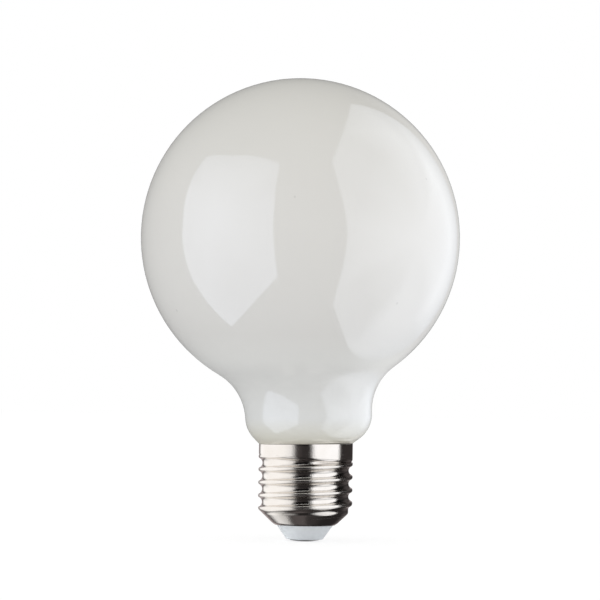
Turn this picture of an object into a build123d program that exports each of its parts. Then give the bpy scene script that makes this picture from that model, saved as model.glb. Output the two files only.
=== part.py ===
from build123d import *

import os
from math import acos, atan2, ceil, cos, degrees, radians, sin, sqrt, tan

# Opal globe lamp with a 27 mm screw cap, in millimetres and degrees.
# The origin is the tip of the centre contact and +Z runs up the axis of the cap.
# The globe leans a little towards -X.

# Driving dimensions of the glass
globe_diameter = 89.0
shoulder_radius = 15.0  # hollow sweep from the globe into the neck
neck_diameter = 35.4  # neck at its fullest
turn_radius = 8.3  # round turn of the neck down into the cap
tail_length = 16.0  # from the fullest neck to the end of the glass, inside the cap
tail_chamfer = 2.5
lean_angle = 3.5  # the blown glass sits out of true in its cap
neck_shift = 0.63  # and off its axis, towards +X at the fullest neck

# Driving dimensions of the screw shell
cap_height = 27.0  # contact tip to rim
sheet_thickness = 0.3
thread_diameter = 26.3  # over the crests
thread_depth = 1.1
thread_pitch = 25.4 / 7  # seven turns to the inch
crest_height = 10.69  # height of a crest where it crosses the +X side
arc_facets = 4  # straight facets that draw each crest and each root
collar_height = 4.5
collar_step = 0.05  # collar proud of the crests
collar_rounding = 0.8
lip_diameter = 17.0  # lower edge of the cone
cone_angle = 49.5  # cone against the axis

# Driving dimensions of the foot
contact_stand = 0.5  # contact proud of the insulator
contact_diameter = 8.0
contact_flat_diameter = 5.0
contact_edge = 0.25  # upright edge of the contact's head
shank_diameter = 2.6
peen_diameter = 4.4
peen_height = 0.6
insulator_height = 4.0  # the part of it that shows below the lip
insulator_foot_diameter = 10.2
insulator_foot_rounding = 0.5
insulator_wall = 1.6
insulator_floor = 2.2
insulator_rise = 1.2  # its wall above the top of the cone

# Clearances and fits
seat_clearance = 0.1  # glass to the rim of the cap, on the side it leans to
tail_clearance = 0.4  # glass to the roots inside the shell, at the end of the tail
insulator_clearance = 0.08  # insulator to the inside of the shell
shank_clearance = 0.1  # rivet to its bore
cement_drop = 0.25  # top of the cement below the rim
cement_lift = 0.4  # foot of the cement above the collar's rounding

# Radii and heights of the cap
crest_r = thread_diameter / 2
root_r = crest_r - thread_depth
collar_r = crest_r + collar_step
collar_z = cap_height - collar_height
lip_r = lip_diameter / 2
lip_z = contact_stand + insulator_height
cone_flare = tan(radians(cone_angle))  # radius gained for each height
cone_wall = sheet_thickness / cos(radians(cone_angle))  # sheet of the cone, measured level
cone_top_z = lip_z + (root_r - lip_r) / cone_flare
overrun = 1.0  # how far a cutting solid runs past what it cuts

# Equal arcs, tangent to each other, make the rolled wave: pitch and depth set their radius and sweep
wave_arc = (thread_depth**2 + (thread_pitch / 2) ** 2) / (4 * thread_depth)
wave_sweep = degrees(atan2(thread_pitch / 4, wave_arc - thread_depth / 2))

# Radii and heights of the glass, whose round turn rests on the rim on the side it leans to
globe_r = globe_diameter / 2
neck_r = neck_diameter / 2
turn_centre_r = neck_r - turn_radius
turn_drop = turn_centre_r * sin(radians(lean_angle))
rim_to_turn = collar_r - sheet_thickness + neck_shift - turn_centre_r * cos(radians(lean_angle))
neck_z = cap_height + turn_drop + sqrt((turn_radius + seat_clearance) ** 2 - rim_to_turn**2)
globe_rise = sqrt((globe_r + shoulder_radius) ** 2 - (neck_r + shoulder_radius) ** 2)
tail_swing = neck_shift + tail_length * sin(radians(lean_angle))  # the tail's end off the cap's axis
tail_r = root_r - sheet_thickness - tail_clearance - tail_swing


def faceted_arc(centre, radius, start, end, count):
    """Corners of an arc drawn with straight facets, its angles counted from the outward direction."""
    angles = [radians(start + (end - start) * k / count) for k in range(count + 1)]
    return [(centre[0] + radius * cos(angle), centre[1] + radius * sin(angle)) for angle in angles]


def rolled_wave(inset, bottom, turns):
    """Roots and crests from the bottom up, drawn in by inset as the inside of the sheet is."""
    corners = []
    for turn in range(turns):
        root = (root_r + wave_arc, bottom + turn * thread_pitch)
        crest = (crest_r - wave_arc, bottom + (turn + 0.5) * thread_pitch)
        root_start = 180 + wave_sweep
        root_end = 180 - wave_sweep
        corners += faceted_arc(root, wave_arc + inset, root_start, root_end, arc_facets)[:-1]
        corners += faceted_arc(crest, wave_arc - inset, -wave_sweep, wave_sweep, arc_facets)[:-1]
    return corners


def cap_body(inset, past_ends):
    """Cone, rolled thread and collar in one body, drawn in by inset and carried on past its ends."""
    lip_end = lip_z - past_ends
    lip_end_r = lip_r - inset / cos(radians(cone_angle)) - past_ends * cone_flare
    outer_r = collar_r + overrun
    rim_end = cap_height + past_ends
    wave_end = collar_z + collar_rounding
    hollow_r = lip_r / 2 - 2 * past_ends  # only the wall counts, so the middle stays open
    turns_below = ceil((crest_height - lip_end) / thread_pitch) + 1
    turns_above = ceil((wave_end - crest_height) / thread_pitch) + 1
    bottom = crest_height - (turns_below + 0.5) * thread_pitch
    wave = rolled_wave(inset, bottom, turns_below + turns_above)

    with BuildPart() as body:
        # The thread in two half turns, each a section that climbs half a pitch as it goes round
        for turned in (0, 180):
            out = Vector(1, 0, 0).rotate(Axis.Z, turned)
            lift = thread_pitch * turned / 360
            with BuildSketch(Plane((0, 0, lift), x_dir=out, z_dir=out.cross(Vector(0, 0, 1)))):
                with BuildLine():
                    Polyline(*wave, (hollow_r, wave[-1][1]), (hollow_r, wave[0][1]), close=True)
                make_face()
            climb = Helix(thread_pitch, thread_pitch / 2, root_r, (0, 0, lift), mode=Mode.PRIVATE)
            sweep(path=climb.rotate(Axis.Z, turned), is_frenet=True)

        # The cone cuts off the lower end of the thread
        with BuildSketch(Plane.XZ):
            with BuildLine():
                Polyline(
                    (0, lip_end),
                    (lip_end_r, lip_end),
                    (outer_r, lip_end + (outer_r - lip_end_r) / cone_flare),
                    (outer_r, wave_end),
                    (0, wave_end),
                    close=True,
                )
            make_face()
        revolve(axis=Axis.Z, mode=Mode.INTERSECT)

        # The collar takes in the upper end
        with BuildSketch(Plane.XZ):
            with BuildLine():
                corner_centre = (collar_r - collar_rounding, collar_z + collar_rounding)
                corner = faceted_arc(corner_centre, collar_rounding - inset, -90, 0, arc_facets // 2)
                Polyline(
                    (hollow_r - overrun, corner[0][1]),
                    *corner,
                    (corner[-1][0], rim_end),
                    (hollow_r - overrun, rim_end),
                    close=True,
                )
            make_face()
        revolve(axis=Axis.Z)
    return body.part


# Blown envelope: globe, shoulder, neck and tail in one sealed piece, revolved on its leaning axis
with BuildPart() as glass_globe:
    neck_centre = Vector(neck_shift, 0, neck_z)
    lean_axis = Axis(neck_centre, Vector(0, 0, 1).rotate(Axis.Y, -lean_angle))
    lean_plane = Plane(neck_centre, x_dir=Vector(1, 0, 0).rotate(Axis.Y, -lean_angle), z_dir=(0, -1, 0))
    shoulder_sweep = degrees(atan2(globe_rise, neck_r + shoulder_radius))
    turn_sweep = degrees(acos((tail_r - turn_centre_r) / turn_radius))
    with BuildSketch(lean_plane):
        with BuildLine():
            globe = CenterArc((0, globe_rise), globe_r, -shoulder_sweep, 90 + shoulder_sweep)
            CenterArc((neck_r + shoulder_radius, 0), shoulder_radius, 180 - shoulder_sweep, shoulder_sweep)
            turn = CenterArc((turn_centre_r, 0), turn_radius, -turn_sweep, turn_sweep)
            Polyline(
                turn @ 0,
                (tail_r, tail_chamfer - tail_length),
                (tail_r - tail_chamfer, -tail_length),
                (0, -tail_length),
                globe @ 1,
            )
        make_face()
    revolve(axis=lean_axis)
glass_globe.part.label = "glass_globe"

# Drawn and rolled sheet: the cap's outside less the same form drawn in by the sheet
shell_outside = cap_body(0, 0)
shell_inside = cap_body(sheet_thickness, overrun)
with BuildPart() as screw_shell:
    add(shell_outside)
    add(shell_inside, mode=Mode.SUBTRACT)
screw_shell.part.label = "screw_shell"

# Moulded cup that lines the cone and shows below the lip
with BuildPart() as insulator:
    foot_r = insulator_foot_diameter / 2
    mouth_r = lip_r - cone_wall - insulator_clearance
    rim_r = root_r - sheet_thickness - insulator_clearance
    rim_z = cone_top_z + insulator_rise
    bore_r = shank_diameter / 2 + shank_clearance
    floor_z = contact_stand + insulator_floor
    with BuildSketch(Plane.XZ):
        with BuildLine():
            Polyline(
                (bore_r, contact_stand),
                (foot_r, contact_stand),
                (mouth_r, lip_z),
                (rim_r, lip_z + (rim_r - mouth_r) / cone_flare),
                (rim_r, rim_z),
                (rim_r - insulator_wall, rim_z),
                (foot_r - insulator_wall / 2, floor_z),
                (bore_r, floor_z),
                close=True,
            )
        make_face()
    revolve(axis=Axis.Z)
    foot_edges = insulator.edges().filter_by(GeomType.CIRCLE).group_by(Axis.Z)[0]
    fillet(foot_edges.sort_by(SortBy.RADIUS)[-1], insulator_foot_rounding)
insulator.part.label = "insulator"

# Riveted contact: low head, shank through the insulator and the end peened over inside
with BuildPart() as centre_contact:
    head_r = contact_diameter / 2
    shank_r = shank_diameter / 2
    with BuildSketch(Plane.XZ):
        with BuildLine():
            Polyline(
                (0, 0),
                (contact_flat_diameter / 2, 0),
                (head_r, contact_stand - contact_edge),
                (head_r, contact_stand),
                (shank_r, contact_stand),
                (shank_r, floor_z),
                (peen_diameter / 2, floor_z),
                (shank_r, floor_z + peen_height),
                (0, floor_z + peen_height),
                close=True,
            )
        make_face()
    revolve(axis=Axis.Z)
centre_contact.part.label = "centre_contact"

# Ring of cement between collar and glass, moulded to the glass
with BuildPart() as capping_cement:
    cement_r = collar_r - sheet_thickness
    cement_foot_z = collar_z + collar_rounding + cement_lift
    with BuildSketch(Plane.XY.offset(cement_foot_z)):
        Circle(cement_r)
    extrude(amount=cap_height - cement_drop - cement_foot_z)
    add(glass_globe.part, mode=Mode.SUBTRACT)
capping_cement.part.label = "capping_cement"

os.makedirs("parts", exist_ok=True)
for piece in (glass_globe, screw_shell, insulator, centre_contact, capping_cement):
    export_step(piece.part, f"parts/{piece.part.label}.step")
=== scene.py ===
from math import asin, atan2, cos, degrees, hypot, pi, radians, sin, sqrt, tan

import bmesh
import bpy
from mathutils import Matrix, Vector


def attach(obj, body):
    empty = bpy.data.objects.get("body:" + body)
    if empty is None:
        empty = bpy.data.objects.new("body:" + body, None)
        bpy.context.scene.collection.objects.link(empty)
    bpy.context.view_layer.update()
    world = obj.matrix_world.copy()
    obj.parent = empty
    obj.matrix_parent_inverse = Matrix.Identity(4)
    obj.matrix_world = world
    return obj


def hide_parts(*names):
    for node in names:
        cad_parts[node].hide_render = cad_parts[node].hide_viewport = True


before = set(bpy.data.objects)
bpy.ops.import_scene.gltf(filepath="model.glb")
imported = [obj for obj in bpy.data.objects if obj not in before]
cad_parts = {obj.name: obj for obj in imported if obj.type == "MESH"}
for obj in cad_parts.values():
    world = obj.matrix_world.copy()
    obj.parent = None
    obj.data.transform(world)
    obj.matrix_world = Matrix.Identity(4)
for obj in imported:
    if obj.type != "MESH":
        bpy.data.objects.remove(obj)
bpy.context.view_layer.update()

scene = bpy.context.scene
MM = 0.001
COLUMNS = 150  # steps round the axis in each piece that is turned here

# Screw shell, in millimetres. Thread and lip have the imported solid's values,
# and the collar, the rim and the cone follow the photograph more closely.
CREST_R = 13.15
THREAD_DEPTH = 1.1
PITCH = 25.4 / 7
CREST_HEIGHT = 10.69
SHEET = 0.3
COLLAR_R = 13.1
COLLAR_BORE = 12.9
COLLAR_Z = 22.58
COLLAR_ROUND = 1.1
COLLAR_SLANT = 0.7  # the collar's foot is higher by this at -X and lower at +X
COLLAR_BLEND = 0.12
RIM_Z = 27.0
RIM_ROUND = 0.09
RIM_LIFT = 0.1  # the rim isn't trimmed level: all round, towards +X, and at front and back
RIM_SLANT = 0.25
RIM_BOW = 0.2
LIP_R = 8.5
LIP_Z = 4.5
LIP_FLARE = 2.2  # radius gained for each height, where the lip turns in
LIP_OFFSET = -0.05
LIP_BLEND = 0.6
CONE_FLARE = tan(radians(46.4))
CONE_OFFSET = 0.14
CONE_BLEND = 0.45
CONE_THICKER = 0.12  # the cone's slope makes its sheet thicker, measured level
CONE_THICK_TOP = 8.5
CONE_THICK_FADE = 1.5

# Neighbours inside the shell: the insulator's cup and the foot of the cement
CUP_MOUTH_R = 7.958
CUP_FLARE = tan(radians(49.5))
CUP_R = 11.67
CUP_TOP = 9.0
CUP_CLEARANCE = 0.03
CEMENT_FOOT = 23.68

# Rolled wave: a small land and a tight turn on the crest, and a wide round root
LAND = 0.06
CREST_ARC = 0.55
RUN_OUT = 0.75
WAVE_WIDTH = PITCH / 2 - LAND
WAVE_SWEEP = 2 * atan2(THREAD_DEPTH, WAVE_WIDTH)
ROOT_ARC = WAVE_WIDTH / sin(WAVE_SWEEP) - CREST_ARC


def wave_drop(t):
    """How far the rolled wave lies below its crest, at t along the axis from the crest."""
    t = abs(t) - LAND
    if t <= 0:
        return 0.0
    if t < CREST_ARC * sin(WAVE_SWEEP):
        return CREST_ARC - sqrt(CREST_ARC**2 - t**2)
    return THREAD_DEPTH - ROOT_ARC + sqrt(ROOT_ARC**2 - (WAVE_WIDTH - t) ** 2)


def smooth_min(a, b, width):
    """The smaller of two values, with a round change from one to the other."""
    h = max(width - abs(a - b), 0) / width
    return min(a, b) - h * h * width / 4


def clamp(value):
    return min(max(value, 0), 1)


def crest_place(turn, z):
    """Place by the nearest crest: turns along the thread, and height above the crest.

    The turn is 0 to 1, counted from +X.
    """
    turns = (z - CREST_HEIGHT) / PITCH - turn
    crest = round(turns)
    return turn + crest, (turns - crest) * PITCH


def thread_r(turn, z):
    """Rolled thread, whose lowest turn rises out of the plain wall, fuller below its crest."""
    along, offset = crest_place(turn, z)
    if offset < 0:
        fuller = 1 + RUN_OUT * clamp(0.35 - 1.3 * along)
        offset = PITCH / 2 * (-offset / (PITCH / 2)) ** fuller
    risen = clamp((along + 0.8) / 0.2)
    return CREST_R - THREAD_DEPTH + risen * (THREAD_DEPTH - wave_drop(offset))


def shell_r(turn, z):
    """Outside of the shell: cone, thread and collar run into each other as pressed sheet does."""
    cone = LIP_R + CONE_OFFSET + (z - LIP_Z) * CONE_FLARE
    lip = LIP_R + LIP_OFFSET + (z - LIP_Z) * LIP_FLARE
    r = smooth_min(thread_r(turn, z), smooth_min(cone, lip, LIP_BLEND), CONE_BLEND)
    foot = COLLAR_Z - COLLAR_SLANT * cos(2 * pi * turn)
    if z > foot:
        below = max(foot + COLLAR_ROUND - z, 0)
        collar = COLLAR_R - COLLAR_ROUND + sqrt(COLLAR_ROUND**2 - below**2)
        r = -smooth_min(-r, -collar, COLLAR_BLEND) if below else COLLAR_R
    return r


def bore_r(turn, z):
    """Inside of the shell, clear of the insulator and flush with the cement."""
    if z > CEMENT_FOOT:
        return COLLAR_BORE
    r = shell_r(turn, z) - SHEET
    r -= CONE_THICKER * clamp((CONE_THICK_TOP - z) / CONE_THICK_FADE)
    if z < CUP_TOP:
        cup = min(CUP_MOUTH_R + (z - LIP_Z) * CUP_FLARE, CUP_R)
        r = max(r, cup + CUP_CLEARANCE)
    return r


def rim_z(turn):
    """Height of the rim."""
    angle = 2 * pi * turn
    return RIM_Z + RIM_LIFT + RIM_SLANT * cos(angle) + RIM_BOW * sin(angle) ** 2


def shell_point(kind, value, turn):
    """Radius and height of a point on one row of the shell's grid."""
    if kind == "out":
        return shell_r(turn, value), value
    if kind == "in":
        return bore_r(turn, value), value
    if kind == "lip":
        return LIP_R + value[0], LIP_Z + value[1]
    z = rim_z(turn) - RIM_ROUND + RIM_ROUND * sin(radians(value))
    if kind == "rim_out":
        return COLLAR_R - RIM_ROUND + RIM_ROUND * cos(radians(value)), z
    return COLLAR_BORE + RIM_ROUND - RIM_ROUND * cos(radians(value)), z


def shell_normal(turn, z):
    """Normal of the outside, from its own formula, so that the thread mirrors without steps."""
    d = 0.004
    angle = 2 * pi * turn
    round_rise = shell_r(turn + d, z) - shell_r(turn - d, z)
    round_slope = round_rise / (4 * pi * d * shell_r(turn, z))
    up_slope = (shell_r(turn, z + d) - shell_r(turn, z - d)) / (2 * d)
    return Vector((
        cos(angle) + round_slope * sin(angle),
        sin(angle) - round_slope * cos(angle),
        -up_slope,
    )).normalized()


def spread(start, end, step):
    """Even places from start up to end, which is left out."""
    count = max(1, round((end - start) / step))
    return [start + (end - start) * k / count for k in range(count)]


def build_shell():
    """Grid round the axis: up the outside, over the rim, down the inside and round the lip."""
    lowest = LIP_Z + 0.1
    thread_foot = 7.0
    collar_top = COLLAR_Z + COLLAR_SLANT + COLLAR_ROUND
    highest = RIM_Z - 0.12
    rise = spread(lowest, thread_foot, 0.09) + spread(thread_foot, COLLAR_Z, 0.045)
    rise += spread(COLLAR_Z, collar_top, 0.04) + spread(collar_top, highest, 0.25)
    rows = [("out", z) for z in rise]
    rows += [("rim_out", a) for a in (0, 30, 60, 90)]
    rows += [("rim_in", a) for a in (90, 60, 30, 0)]
    rows += [("in", z) for z in spread(lowest, highest, 0.3)[::-1]]
    rows += [("lip", place) for place in ((-0.42, 0), (-0.06, 0), (0.01, 0.03))]

    # Each point also keeps its distance from the nearest crest, for the wear there
    no_crest = 9.0
    lowest_crest = 6.5
    bm = bmesh.new()
    mark = bm.verts.layers.float.new("crest")
    grid = []
    normals = []
    for kind, value in rows:
        ring = []
        for c in range(COLUMNS):
            turn = c / COLUMNS
            angle = 2 * pi * turn
            r, z = shell_point(kind, value, turn)
            v = bm.verts.new((r * cos(angle) * MM, r * sin(angle) * MM, z * MM))
            worn = kind == "out" and lowest_crest < z < COLLAR_Z
            v[mark] = abs(crest_place(turn, z)[1]) if worn else no_crest
            normals.append(shell_normal(turn, z) if kind == "out" else (0, 0, 0))
            ring.append(v)
        grid.append(ring)
    for k, ring in enumerate(grid):
        above = grid[(k + 1) % len(grid)]
        for c in range(COLUMNS):
            d = (c + 1) % COLUMNS
            bm.faces.new((ring[c], ring[d], above[d], above[c])).smooth = True
    mesh = bpy.data.meshes.new("rolled_shell")
    bm.to_mesh(mesh)
    bm.free()
    mesh.normals_split_custom_set_from_vertices(normals)
    shell = bpy.data.objects.new("rolled_shell", mesh)
    scene.collection.objects.link(shell)
    return shell


# Node helpers
def material(name):
    mat = bpy.data.materials.new(name)
    mat.use_nodes = True
    nodes = mat.node_tree.nodes
    nodes.clear()
    return mat, nodes, mat.node_tree.links


def add(nodes, kind, **values):
    """A node with its settings, or the values of its inputs, given by name."""
    node = nodes.new("ShaderNode" + kind)
    for key, value in values.items():
        if hasattr(node, key):
            setattr(node, key, value)
        else:
            node.inputs[key.replace("_", " ")].default_value = value
    return node


def ramp(nodes, stops):
    node = nodes.new("ShaderNodeValToRGB")
    elements = node.color_ramp.elements
    while len(elements) < len(stops):
        elements.new(0.5)
    for element, (place, colour) in zip(elements, stops):
        element.position = place
        element.color = (*colour, 1) if isinstance(colour, tuple) else (colour, colour, colour, 1)
    return node


def principled(nodes, links):
    shader = nodes.new("ShaderNodeBsdfPrincipled")
    out = nodes.new("ShaderNodeOutputMaterial")
    links.new(shader.outputs[0], out.inputs[0])
    return shader


def multiply(nodes, links, first, second):
    """Two colours multiplied."""
    node = add(nodes, "MixRGB", blend_type="MULTIPLY", Fac=1.0)
    links.new(first.outputs[0], node.inputs["Color1"])
    links.new(second.outputs[0], node.inputs["Color2"])
    return node


def combine(nodes, links, operation, first, second):
    """Two numbers put together."""
    node = add(nodes, "Math", operation=operation)
    links.new(first, node.inputs[0])
    links.new(second, node.inputs[1])
    return node.outputs[0]


def seen(nodes, links):
    """1 for a ray that looks at the background, straight, in a reflection or through glass."""
    path = add(nodes, "LightPath").outputs
    first = combine(nodes, links, "MAXIMUM", path["Is Camera Ray"], path["Is Glossy Ray"])
    return combine(nodes, links, "MAXIMUM", first, path["Is Transmission Ray"])


def opal_glass():
    """Opal white, clouded a little, with fine seeds, warmer and darker at the foot, warmer at the top,
    and lighter at the waist as painted light.
    """
    mat, nodes, links = material("opal_glass_look")
    shader = principled(nodes, links)
    shader.inputs["IOR"].default_value = 2.3
    place = add(nodes, "TexCoord")
    apart = add(nodes, "SeparateXYZ")
    links.new(place.outputs["Object"], apart.inputs[0])
    height = add(nodes, "MapRange", From_Min=26 * MM, From_Max=130 * MM)
    links.new(apart.outputs["Z"], height.inputs["Value"])
    # Base colour by height: the lighter stops at 0.2 and 0.23 are painted light that lifts the shade in
    # the concave waist.
    tint = ramp(nodes, [
        (0.0, (0.72, 0.67, 0.555)), (0.025, (0.79, 0.772, 0.68)), (0.08, (0.79, 0.795, 0.78)),
        (0.16, (0.79, 0.79, 0.77)), (0.2, (0.84, 0.84, 0.82)), (0.23, (0.858, 0.858, 0.833)),
        (0.3, (0.80, 0.79, 0.765)), (0.6, (0.79, 0.775, 0.74)), (1.0, (0.78, 0.765, 0.71)),
    ])
    links.new(height.outputs[0], tint.inputs[0])
    cloud = add(nodes, "TexNoise", Scale=38.0, Detail=3.0, Roughness=0.5)
    links.new(place.outputs["Object"], cloud.inputs["Vector"])
    tone = ramp(nodes, [(0.3, 0.985), (0.7, 1.0)])
    links.new(cloud.outputs["Fac"], tone.inputs[0])
    seeds = add(nodes, "TexVoronoi", Scale=95.0, Randomness=1.0)
    links.new(place.outputs["Object"], seeds.inputs["Vector"])
    speck = ramp(nodes, [(0.0, 0.86), (0.028, 0.89), (0.045, 1.0)])
    links.new(seeds.outputs["Distance"], speck.inputs[0])
    clouded = multiply(nodes, links, tint, tone)
    seeded = multiply(nodes, links, clouded, speck)
    links.new(seeded.outputs[0], shader.inputs["Base Color"])

    # Glossy, a little duller where the glass was drawn in at the waist
    gloss = ramp(nodes, [(0.2, 0.045), (0.8, 0.075)])
    links.new(cloud.outputs["Fac"], gloss.inputs[0])
    waist = ramp(nodes, [(0.14, 0.07), (0.19, 0.19), (0.225, 0.19), (0.275, 0.0)])
    waist.color_ramp.interpolation = "EASE"
    links.new(height.outputs[0], waist.inputs[0])
    dull = combine(nodes, links, "ADD", gloss.outputs[0], waist.outputs[0])
    links.new(dull, shader.inputs["Roughness"])
    sway = add(nodes, "TexNoise", Scale=22.0, Detail=1.0)
    links.new(place.outputs["Object"], sway.inputs["Vector"])
    bump = add(nodes, "Bump", Strength=0.12, Distance=0.0006)
    links.new(sway.outputs["Fac"], bump.inputs["Height"])
    links.new(bump.outputs[0], shader.inputs["Normal"])
    return mat


def nickel_plate():
    """Bright plate with two rubbed lines along each crest and fine pits all over."""
    mat, nodes, links = material("nickel_plate_look")
    shader = principled(nodes, links)
    shader.inputs["Metallic"].default_value = 1.0
    place = add(nodes, "TexCoord")
    cloud = add(nodes, "TexNoise", Scale=260.0, Detail=4.0)
    links.new(place.outputs["Object"], cloud.inputs["Vector"])
    tint = ramp(nodes, [(0.3, (0.76, 0.725, 0.68)), (0.7, (0.80, 0.77, 0.735))])
    links.new(cloud.outputs["Fac"], tint.inputs[0])
    links.new(tint.outputs[0], shader.inputs["Base Color"])
    crest = add(nodes, "Attribute", attribute_name="crest")
    rubbed = ramp(nodes, [(0.0, 0.12), (0.15, 0.12), (0.2, 0.3), (0.3, 0.3), (0.38, 0.08)])
    links.new(crest.outputs["Fac"], rubbed.inputs[0])
    pits = add(nodes, "TexNoise", Scale=3000.0, Detail=1.0)
    links.new(place.outputs["Object"], pits.inputs["Vector"])
    dull = ramp(nodes, [(0.5, 0.0), (0.75, 0.24)])
    links.new(pits.outputs["Fac"], dull.inputs[0])
    worn = combine(nodes, links, "MAXIMUM", rubbed.outputs[0], dull.outputs[0])
    links.new(worn, shader.inputs["Roughness"])
    grain = add(nodes, "TexNoise", Scale=3600.0, Detail=2.0)
    links.new(place.outputs["Object"], grain.inputs["Vector"])
    bump = add(nodes, "Bump", Strength=0.5, Distance=0.00004)
    links.new(grain.outputs["Fac"], bump.inputs["Height"])
    links.new(bump.outputs[0], shader.inputs["Normal"])
    return mat


def moulded(name, dark, light, scale, roughness, depth):
    """Moulded, cast or pressed surface with a fine grain."""
    mat, nodes, links = material(name)
    shader = principled(nodes, links)
    place = add(nodes, "TexCoord")
    grain = add(nodes, "TexNoise", Scale=scale, Detail=5.0)
    links.new(place.outputs["Object"], grain.inputs["Vector"])
    tint = ramp(nodes, [(0.3, dark), (0.7, light)])
    links.new(grain.outputs["Fac"], tint.inputs[0])
    links.new(tint.outputs[0], shader.inputs["Base Color"])
    dull = ramp(nodes, [(0.3, roughness), (0.7, roughness + 0.12)])
    links.new(grain.outputs["Fac"], dull.inputs[0])
    links.new(dull.outputs[0], shader.inputs["Roughness"])
    bump = add(nodes, "Bump", Strength=0.2, Distance=depth)
    links.new(grain.outputs["Fac"], bump.inputs["Height"])
    links.new(bump.outputs[0], shader.inputs["Normal"])
    return mat, shader


# Dress the solids
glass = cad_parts["glass_globe"]
glass.data.materials.clear()
glass_look = opal_glass()
glass.data.materials.append(glass_look)

shell = build_shell()
shell.data.materials.append(nickel_plate())
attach(shell, "root")
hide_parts("screw_shell")

for node, dark, light, scale, roughness, depth, metal in (
    ("insulator", (0.705, 0.735, 0.76), (0.745, 0.775, 0.80), 900.0, 0.5, 0.00002, 0.0),
    ("capping_cement", (0.70, 0.62, 0.49), (0.80, 0.73, 0.60), 1400.0, 0.8, 0.00006, 0.0),
    ("centre_contact", (0.30, 0.29, 0.275), (0.40, 0.385, 0.365), 1100.0, 0.32, 0.00003, 1.0),
):
    mat, shader = moulded(node + "_look", dark, light, scale, roughness, depth)
    shader.inputs["Metallic"].default_value = metal
    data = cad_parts[node].data
    data.materials.clear()
    data.materials.append(mat)

# Foot of the glass, in millimetres: below its round turn the glass runs straight down to the rim,
# with a thin seam of cement between the two, coloured near black as painted shade in the crevice. The
# turn has the imported solid's values.
LEAN = radians(3.5)
NECK_SHIFT = 0.63
NECK_Z = 34.8785
TURN_R = 8.3
TURN_CENTRE_R = 9.4
CEMENT_TOP = 26.75
SEAM = 0.25
REST = 0.012  # foot above the rim where there is no seam
FOOT_STEPS = 4
OVERLAP = 0.3  # how far foot and seam go in behind the bore


def glass_gap(point):
    """Distance from a point to the round turn of the glass."""
    axis = Vector((-sin(LEAN), 0, cos(LEAN)))
    place = point - Vector((NECK_SHIFT, 0, NECK_Z))
    along = place.dot(axis)
    return hypot((place - along * axis).length - TURN_CENTRE_R, along) - TURN_R


def glass_r(angle, z):
    """Radius at which the glass is met, going in from outside."""
    low = TURN_CENTRE_R
    high = TURN_CENTRE_R + 2 * TURN_R
    for halving in range(40):
        middle = (low + high) / 2
        if glass_gap(Vector((middle * cos(angle), middle * sin(angle), z))) < 0:
            low = middle
        else:
            high = middle
    return low


def build_ring(name, profile_at, sharp):
    """A ring from one profile for each angle, with sharp edges at the corners named."""
    bm = bmesh.new()
    rings = []
    for c in range(COLUMNS):
        angle = 2 * pi * c / COLUMNS
        rings.append([
            bm.verts.new((r * cos(angle) * MM, r * sin(angle) * MM, z * MM))
            for r, z in profile_at(angle)
        ])
    for c in range(COLUMNS):
        here = rings[c]
        there = rings[(c + 1) % COLUMNS]
        for k in range(len(here)):
            n = (k + 1) % len(here)
            bm.faces.new((here[k], there[k], there[n], here[n])).smooth = True
            bm.edges.get((here[k], there[k])).smooth = k not in sharp
    bmesh.ops.recalc_face_normals(bm, faces=bm.faces)
    mesh = bpy.data.meshes.new(name)
    bm.to_mesh(mesh)
    bm.free()
    ring = bpy.data.objects.new(name, mesh)
    scene.collection.objects.link(ring)
    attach(ring, "root")
    return ring


def foot_z(angle):
    """Lower edge of the foot: down on the rim at -X and +X, a seam above it between them."""
    seam = SEAM * clamp((cos(angle) + 0.9) / 0.9) * clamp((1 - cos(angle)) / 0.1)
    return rim_z(angle / (2 * pi)) + REST + seam


def foot_profile(angle):
    """The line from the lower edge that just touches the turn."""
    low_z = foot_z(angle)
    low_r = COLLAR_R - RIM_ROUND / 2
    heights = [low_z + 0.4 + 0.02 * k for k in range(130)]
    touch_z = max(heights, key=lambda z: (glass_r(angle, z) - low_r) / (z - low_z))
    touch_r = glass_r(angle, touch_z) - 0.004
    shares = [k / FOOT_STEPS for k in range(FOOT_STEPS + 1)]
    line = [(low_r + (touch_r - low_r) * k, low_z + (touch_z - low_z) * k) for k in shares]
    return [(COLLAR_BORE - OVERLAP, low_z), *line]


def seam_profile(angle):
    """Cement from its top inside the collar, over the rim and up to the foot."""
    low_z = rim_z(angle / (2 * pi)) + 0.008
    high_z = foot_z(angle) - 0.002
    side_r = COLLAR_BORE - 0.02
    inner_r = side_r - OVERLAP
    outer_r = COLLAR_R - RIM_ROUND
    return [
        (inner_r, CEMENT_TOP), (side_r, CEMENT_TOP), (side_r, low_z),
        (outer_r, low_z), (outer_r, high_z), (inner_r, high_z),
    ]


foot = build_ring("glass_foot", foot_profile, (0, 1, FOOT_STEPS + 1))
foot.data.materials.append(glass_look)
seam = build_ring("cement_seam_painted_shade", seam_profile, range(6))
# The seam's near-black colour is painted shade for the gap between the glass foot and the rim, far
# darker than the cement itself.
seam_painted_shade_look, shader = moulded(
    "cement_seam_painted_shade_look", (0.1, 0.09, 0.08), (0.16, 0.145, 0.125), 1400.0, 0.7, 0.00006
)
seam.data.materials.append(seam_painted_shade_look)

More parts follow.
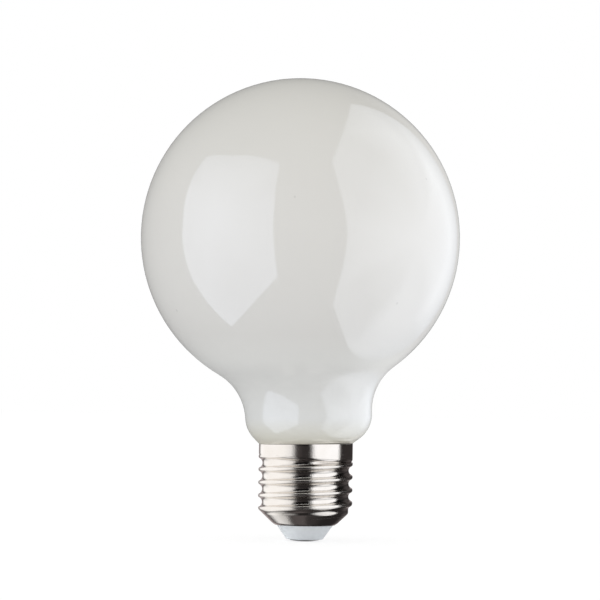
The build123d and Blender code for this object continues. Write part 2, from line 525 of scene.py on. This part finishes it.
# World: white to look at, plain light on the object
world = bpy.data.worlds.new("studio")
scene.world = world
world.use_nodes = True
nodes = world.node_tree.nodes
links = world.node_tree.links
nodes.clear()
way = add(nodes, "TexCoord")
apart = add(nodes, "SeparateXYZ")
links.new(way.outputs["Generated"], apart.inputs[0])
sky = ramp(nodes, [(0.0, 1.0), (0.35, 0.96), (1.0, 0.74)])
links.new(apart.outputs["Z"], sky.inputs[0])
plain = add(nodes, "Background", Strength=0.92)
links.new(sky.outputs[0], plain.inputs["Color"])
white = add(nodes, "Background", Strength=1.0)
white.inputs["Color"].default_value = (1, 1, 1, 1)
choose = add(nodes, "MixShader")
links.new(seen(nodes, links), choose.inputs["Fac"])
links.new(plain.outputs[0], choose.inputs[1])
links.new(white.outputs[0], choose.inputs[2])
links.new(choose.outputs[0], add(nodes, "OutputWorld").inputs[0])


def stage_mesh(name, verts, faces, mat, reflected_only=True):
    mesh = bpy.data.meshes.new(name)
    mesh.from_pydata(verts, [], faces)
    mesh.materials.append(mat)
    obj = bpy.data.objects.new(name, mesh)
    scene.collection.objects.link(obj)
    if reflected_only:
        obj.visible_camera = False
        obj.visible_diffuse = False
        obj.visible_transmission = False
        obj.visible_volume_scatter = False
        obj.visible_shadow = False
    return obj


# Pale floor, white to the horizon, that keeps a soft shadow and is clear from below
mat, nodes, links = material("floor_look")
near = add(nodes, "BsdfDiffuse")
near.inputs["Color"].default_value = (0.92, 0.92, 0.92, 1)
shade = add(nodes, "BsdfDiffuse")
shade.inputs["Color"].default_value = (0.26, 0.26, 0.26, 1)
glow = add(nodes, "Emission", Strength=0.80)
both = add(nodes, "AddShader")
links.new(shade.outputs[0], both.inputs[0])
links.new(glow.outputs[0], both.inputs[1])
choose = add(nodes, "MixShader")
links.new(seen(nodes, links), choose.inputs["Fac"])
links.new(near.outputs[0], choose.inputs[1])
links.new(both.outputs[0], choose.inputs[2])
side = add(nodes, "NewGeometry")
clear = add(nodes, "BsdfTransparent")
top = add(nodes, "MixShader")
links.new(side.outputs["Backfacing"], top.inputs["Fac"])
links.new(choose.outputs[0], top.inputs[1])
links.new(clear.outputs[0], top.inputs[2])
links.new(top.outputs[0], add(nodes, "OutputMaterial").inputs[0])
REACH = 1.6
FLOOR_Z = -0.00005
corners = [(x * REACH, y * REACH, FLOOR_Z) for x, y in ((-1, -1), (1, -1), (1, 1), (-1, 1))]
floor = stage_mesh("floor", corners, [(0, 1, 2, 3)], mat, reflected_only=False)
floor.visible_glossy = False


def card_look(name, clear_of_others=False):
    """Light card with the brightness and tint of its mesh's own colours.

    One that is clear of others lets rays go on.
    """
    mat, nodes, links = material(name)
    tint = add(nodes, "VertexColor", layer_name="glow")
    glow = add(nodes, "Emission")
    links.new(tint.outputs["Color"], glow.inputs["Color"])
    out = add(nodes, "OutputMaterial")
    if clear_of_others:
        clear = add(nodes, "BsdfTransparent")
        both = add(nodes, "AddShader")
        links.new(glow.outputs[0], both.inputs[0])
        links.new(clear.outputs[0], both.inputs[1])
        links.new(both.outputs[0], out.inputs[0])
    else:
        links.new(glow.outputs[0], out.inputs[0])
    return mat


def paint(obj, colour_at):
    """Colour of each face corner, from its vertex."""
    layer = obj.data.color_attributes.new("glow", "FLOAT_COLOR", "CORNER")
    for face in obj.data.polygons:
        for loop in face.loop_indices:
            vertex = obj.data.vertices[obj.data.loops[loop].vertex_index]
            layer.data[loop].color = (*colour_at(vertex), 1)


def direction(azimuth, elevation):
    """Direction from degrees, with azimuth counted from the camera's side towards +X."""
    a = radians(azimuth)
    e = radians(elevation)
    return Vector((sin(a) * cos(e), -cos(a) * cos(e), sin(e)))


def heading(way):
    """Azimuth and elevation of a direction, in degrees."""
    return degrees(atan2(way.x, -way.y)), degrees(asin(min(max(way.z, -1), 1)))


def step(value, edge, soft):
    """0 before the edge, 1 after it, with a soft change."""
    k = clamp((value - edge) / (2 * soft) + 0.5)
    return k * k * (3 - 2 * k)


def between(value, start, end, soft):
    return step(value, start, soft) * (1 - step(value, end, soft))


# Two large soft boxes, left and right, that the glass mirrors: outlines in azimuth and elevation
GLOBE_CENTRE = Vector((-2.405, 0, 84.5)) * MM
BOX_REACH = 1.2
BOX_BODY = 0.68  # how far out from its middle a box keeps its light
BOX_END = 30  # elevation past which its body is dimmer
left_box = [
    (-99, 40), (-74, 48), (-44, 53), (-30, 52), (-21, 50), (-20, 34), (-19, 18), (-19, 6),
    (-18, -11), (-17, -29), (-33, -40), (-54, -49), (-86, -53), (-87, -40), (-88, -31),
    (-90, -22), (-91, -11), (-92, -1), (-92, 7), (-94, 15), (-96, 23), (-98, 31),
]
right_box = [
    (151, 54), (75, 68), (30.5, 51), (30.5, 31), (32.5, 9), (33, 0), (32, -18), (31, -35),
    (32, -47), (57, -61), (101, -65), (131, -56), (145, -40), (152, -22), (154, -8), (154, 4),
    (152, 16), (151, 30), (151, 42),
]
boxes = []
for name, outline, middle, tint, hub_glow, bodies, ends, edges, high_edge in (
    ("left_box", left_box, (-62, 12), (0.97, 1.02, 1.16), 1.03, (0.80, 0.86), 0.95, (0.78, 0.86), 0.60),
    ("right_box", right_box, (88, 0), (0.98, 1.02, 1.1), 1.28, (0.92, 1.56), 0.74, (0.72, 0.79), 0.62),
):
    # A middle, a ring most of the way out and the outline, with the light falling off to the edges
    hub = direction(*middle)
    ways = [direction(*p) for p in outline]
    ring = [(hub * (1 - BOX_BODY) + way * BOX_BODY).normalized() for way in ways]
    verts = [GLOBE_CENTRE + BOX_REACH * way for way in (hub, *ring, *ways)]
    body_glow = []
    edge_glow = []
    for azimuth, elevation in outline:
        outer = abs(azimuth) >= abs(middle[0])
        body_glow.append(bodies[outer] * (ends if abs(elevation) > BOX_END else 1))
        edge_glow.append(high_edge if elevation > BOX_END else edges[outer])
    levels = [hub_glow, *body_glow, *edge_glow]
    count = len(outline)
    faces = []
    for k in range(count):
        n = (k + 1) % count
        faces += [(0, 1 + k, 1 + n), (1 + k, 1 + count + k, 1 + count + n, 1 + n)]
    box = stage_mesh(name, verts, faces, card_look(name + "_look"))
    boxes.append(box)
    paint(box, lambda vertex: [channel * levels[vertex.index] for channel in tint])

# Grey studio walls, all round
bm = bmesh.new()
bmesh.ops.create_icosphere(bm, subdivisions=4, radius=3.0)
verts = [v.co[:] for v in bm.verts]
faces = [[v.index for v in face.verts] for face in bm.faces]
bm.free()
walls = stage_mesh("walls", verts, faces, card_look("walls_look"))


def wall_light(vertex):
    """Plain grey, with a light strip behind on the right."""
    azimuth, elevation = heading(vertex.co.normalized())
    level = 0.42 + 0.22 * (1 - step(elevation, -20, 8))
    level *= between(azimuth, 148, 168, 7) * step(elevation, -50, 8) * (1 - step(elevation, 30, 16))
    return [0.25 + level] * 3


paint(walls, wall_light)

# A room of bright and dark cards that the screw shell alone mirrors
ROOM_CENTRE = Vector((0, 0, 15)) * MM
ROOM_REACH = 0.6
ROOM_TURNS = 144
ROOM_RISES = 72


def cap_light(vertex):
    way = (vertex.co - ROOM_CENTRE).normalized()
    azimuth, elevation = heading(way)
    above = max(elevation, 0)
    below = max(-elevation, 0)

    # Dark surroundings, lighter at cap height, under the cap and behind it
    dark = 0.004 + 0.032 * between(elevation, -8, 6, 5) + 0.02 * (1 - step(elevation, -8, 5))
    dark += 0.03 * between(way.x, -0.42, -0.2, 0.08) * between(elevation, -12, 8, 6)
    dark += 0.08 * (1 - step(elevation, -68, 8)) * (1 - 0.75 * between(azimuth, 40, 165, 20))
    shelf = between(elevation, -28, 30, 5) * (1 - between(elevation, -5, 5, 4))
    dark += 0.06 * step(azimuth, 128, 12) * shelf
    dark += 0.45 * (1 - between(azimuth, -160, 170, 8)) * between(elevation, -35, 35, 8)
    colour = Vector((1, 0.88, 0.88)) * dark

    # Left card
    across = way.x - max(way.y, 0)
    behind = step(way.y, 0.1, 0.15)
    edge = -0.48 - 0.08 * step(elevation, 12, 10) + 0.0016 * above - 0.1 * behind
    soft = 0.11 - 0.0009 * min(above, 60) + 0.0035 * below * (1 - behind)
    amount = (1 - step(across, edge, soft)) * (azimuth < 0)
    amount *= step(azimuth, -149, 8) * between(elevation, -68, 78, 5)
    level = 1.21 * (1 - 0.2 * step(across, -0.70, 0.18))
    level *= 1 - 0.36 * (1 - step(elevation, -48, 9))
    level *= 1 - 0.25 * step(way.y, 0.55, 0.2) * (1 - step(elevation, -15, 8))
    colour = colour.lerp(Vector((1, 0.99, 0.99)) * level, amount)

    # Right card
    edge = 0.284 - 0.0016 * above + 0.0045 * below
    soft = 0.13 - 0.0011 * min(above, 70) + 0.003 * below
    amount = step(way.x, edge, soft) * (azimuth > 0)
    amount *= (1 - step(azimuth, 90.5, 4.5)) * between(elevation, -74, 78, 5)
    level = 1.26 * (1 - 0.35 * between(elevation, -32, -10, 5))
    return colour.lerp(Vector((1, 1.005, 1.03)) * level, amount)


verts = []
for row in range(ROOM_RISES + 1):
    elevation = -90 + 180 * row / ROOM_RISES
    for k in range(ROOM_TURNS):
        verts.append(ROOM_CENTRE + ROOM_REACH * direction(-180 + 360 * k / ROOM_TURNS, elevation))
faces = []
for row in range(ROOM_RISES):
    for k in range(ROOM_TURNS):
        a = row * ROOM_TURNS + k
        b = row * ROOM_TURNS + (k + 1) % ROOM_TURNS
        faces.append((a, a + ROOM_TURNS, b + ROOM_TURNS, b))
room = stage_mesh("cap_room", verts, faces, card_look("cap_room_look", clear_of_others=True))
paint(room, cap_light)


def light_only(emitters, receivers):
    """Only these receivers take light from these cards or lamps."""
    group = bpy.data.collections.new("lit_by_" + emitters[0].name)
    for receiver in receivers:
        group.objects.link(receiver)
    for emitter in emitters:
        emitter.light_linking.receiver_collection = group


others = [node for name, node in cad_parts.items() if name != "screw_shell"]
light_only([room], [shell])
light_only([walls, *boxes], [foot, seam, *others])

# Soft lamps from the front and both sides, and one at the left for the insulator alone
LAMP_TARGET = Vector((0, 0, 0.07))
LAMP_REACH = 1.5
LAMP_LIFT = Vector((0, 0, 0.25))
for name, azimuth, elevation, energy, colour in (
    ("front_lamp", 0, 8, 1.6, (1, 1, 1)),
    ("left_lamp", -65, 0, 3.7, (0.95, 1, 1.06)),
    ("right_lamp", 65, 0, 2.6, (0.98, 1, 1.03)),
    ("foot_lamp", -85, -8, 11.0, (1, 0.99, 0.97)),
):
    lamp = bpy.data.lights.new(name, "AREA")
    lamp.shape = "DISK"
    lamp.size = 1.0
    lamp.energy = energy
    lamp.color = colour
    lamp_object = bpy.data.objects.new(name, lamp)
    lamp_object.location = LAMP_TARGET + LAMP_REACH * direction(azimuth, elevation) + LAMP_LIFT
    aim = LAMP_TARGET - lamp_object.location
    lamp_object.rotation_euler = aim.to_track_quat("-Z", "Y").to_euler()
    lamp_object.visible_glossy = False
    scene.collection.objects.link(lamp_object)
    if name == "foot_lamp":
        light_only([lamp_object], [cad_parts["insulator"]])

# Camera at the photograph's angle
EYE = Vector((-2.256, -900, 54)) * MM
AIM = Vector((-2.256, 0, 67.137)) * MM
VIEW_WIDTH = 167.5 * MM
ROLL = radians(0.855)
camera = bpy.data.cameras.new("camera")
camera.sensor_width = 36.0
camera.lens = camera.sensor_width * (AIM - EYE).length / VIEW_WIDTH
camera.clip_start = 0.01
camera_object = bpy.data.objects.new("camera", camera)
look = (AIM - EYE).to_track_quat("-Z", "Y").to_matrix().to_4x4()
camera_object.matrix_world = Matrix.Translation(EYE) @ look @ Matrix.Rotation(ROLL, 4, "Z")
scene.collection.objects.link(camera_object)
scene.camera = camera_object

scene.view_settings.view_transform = "Standard"
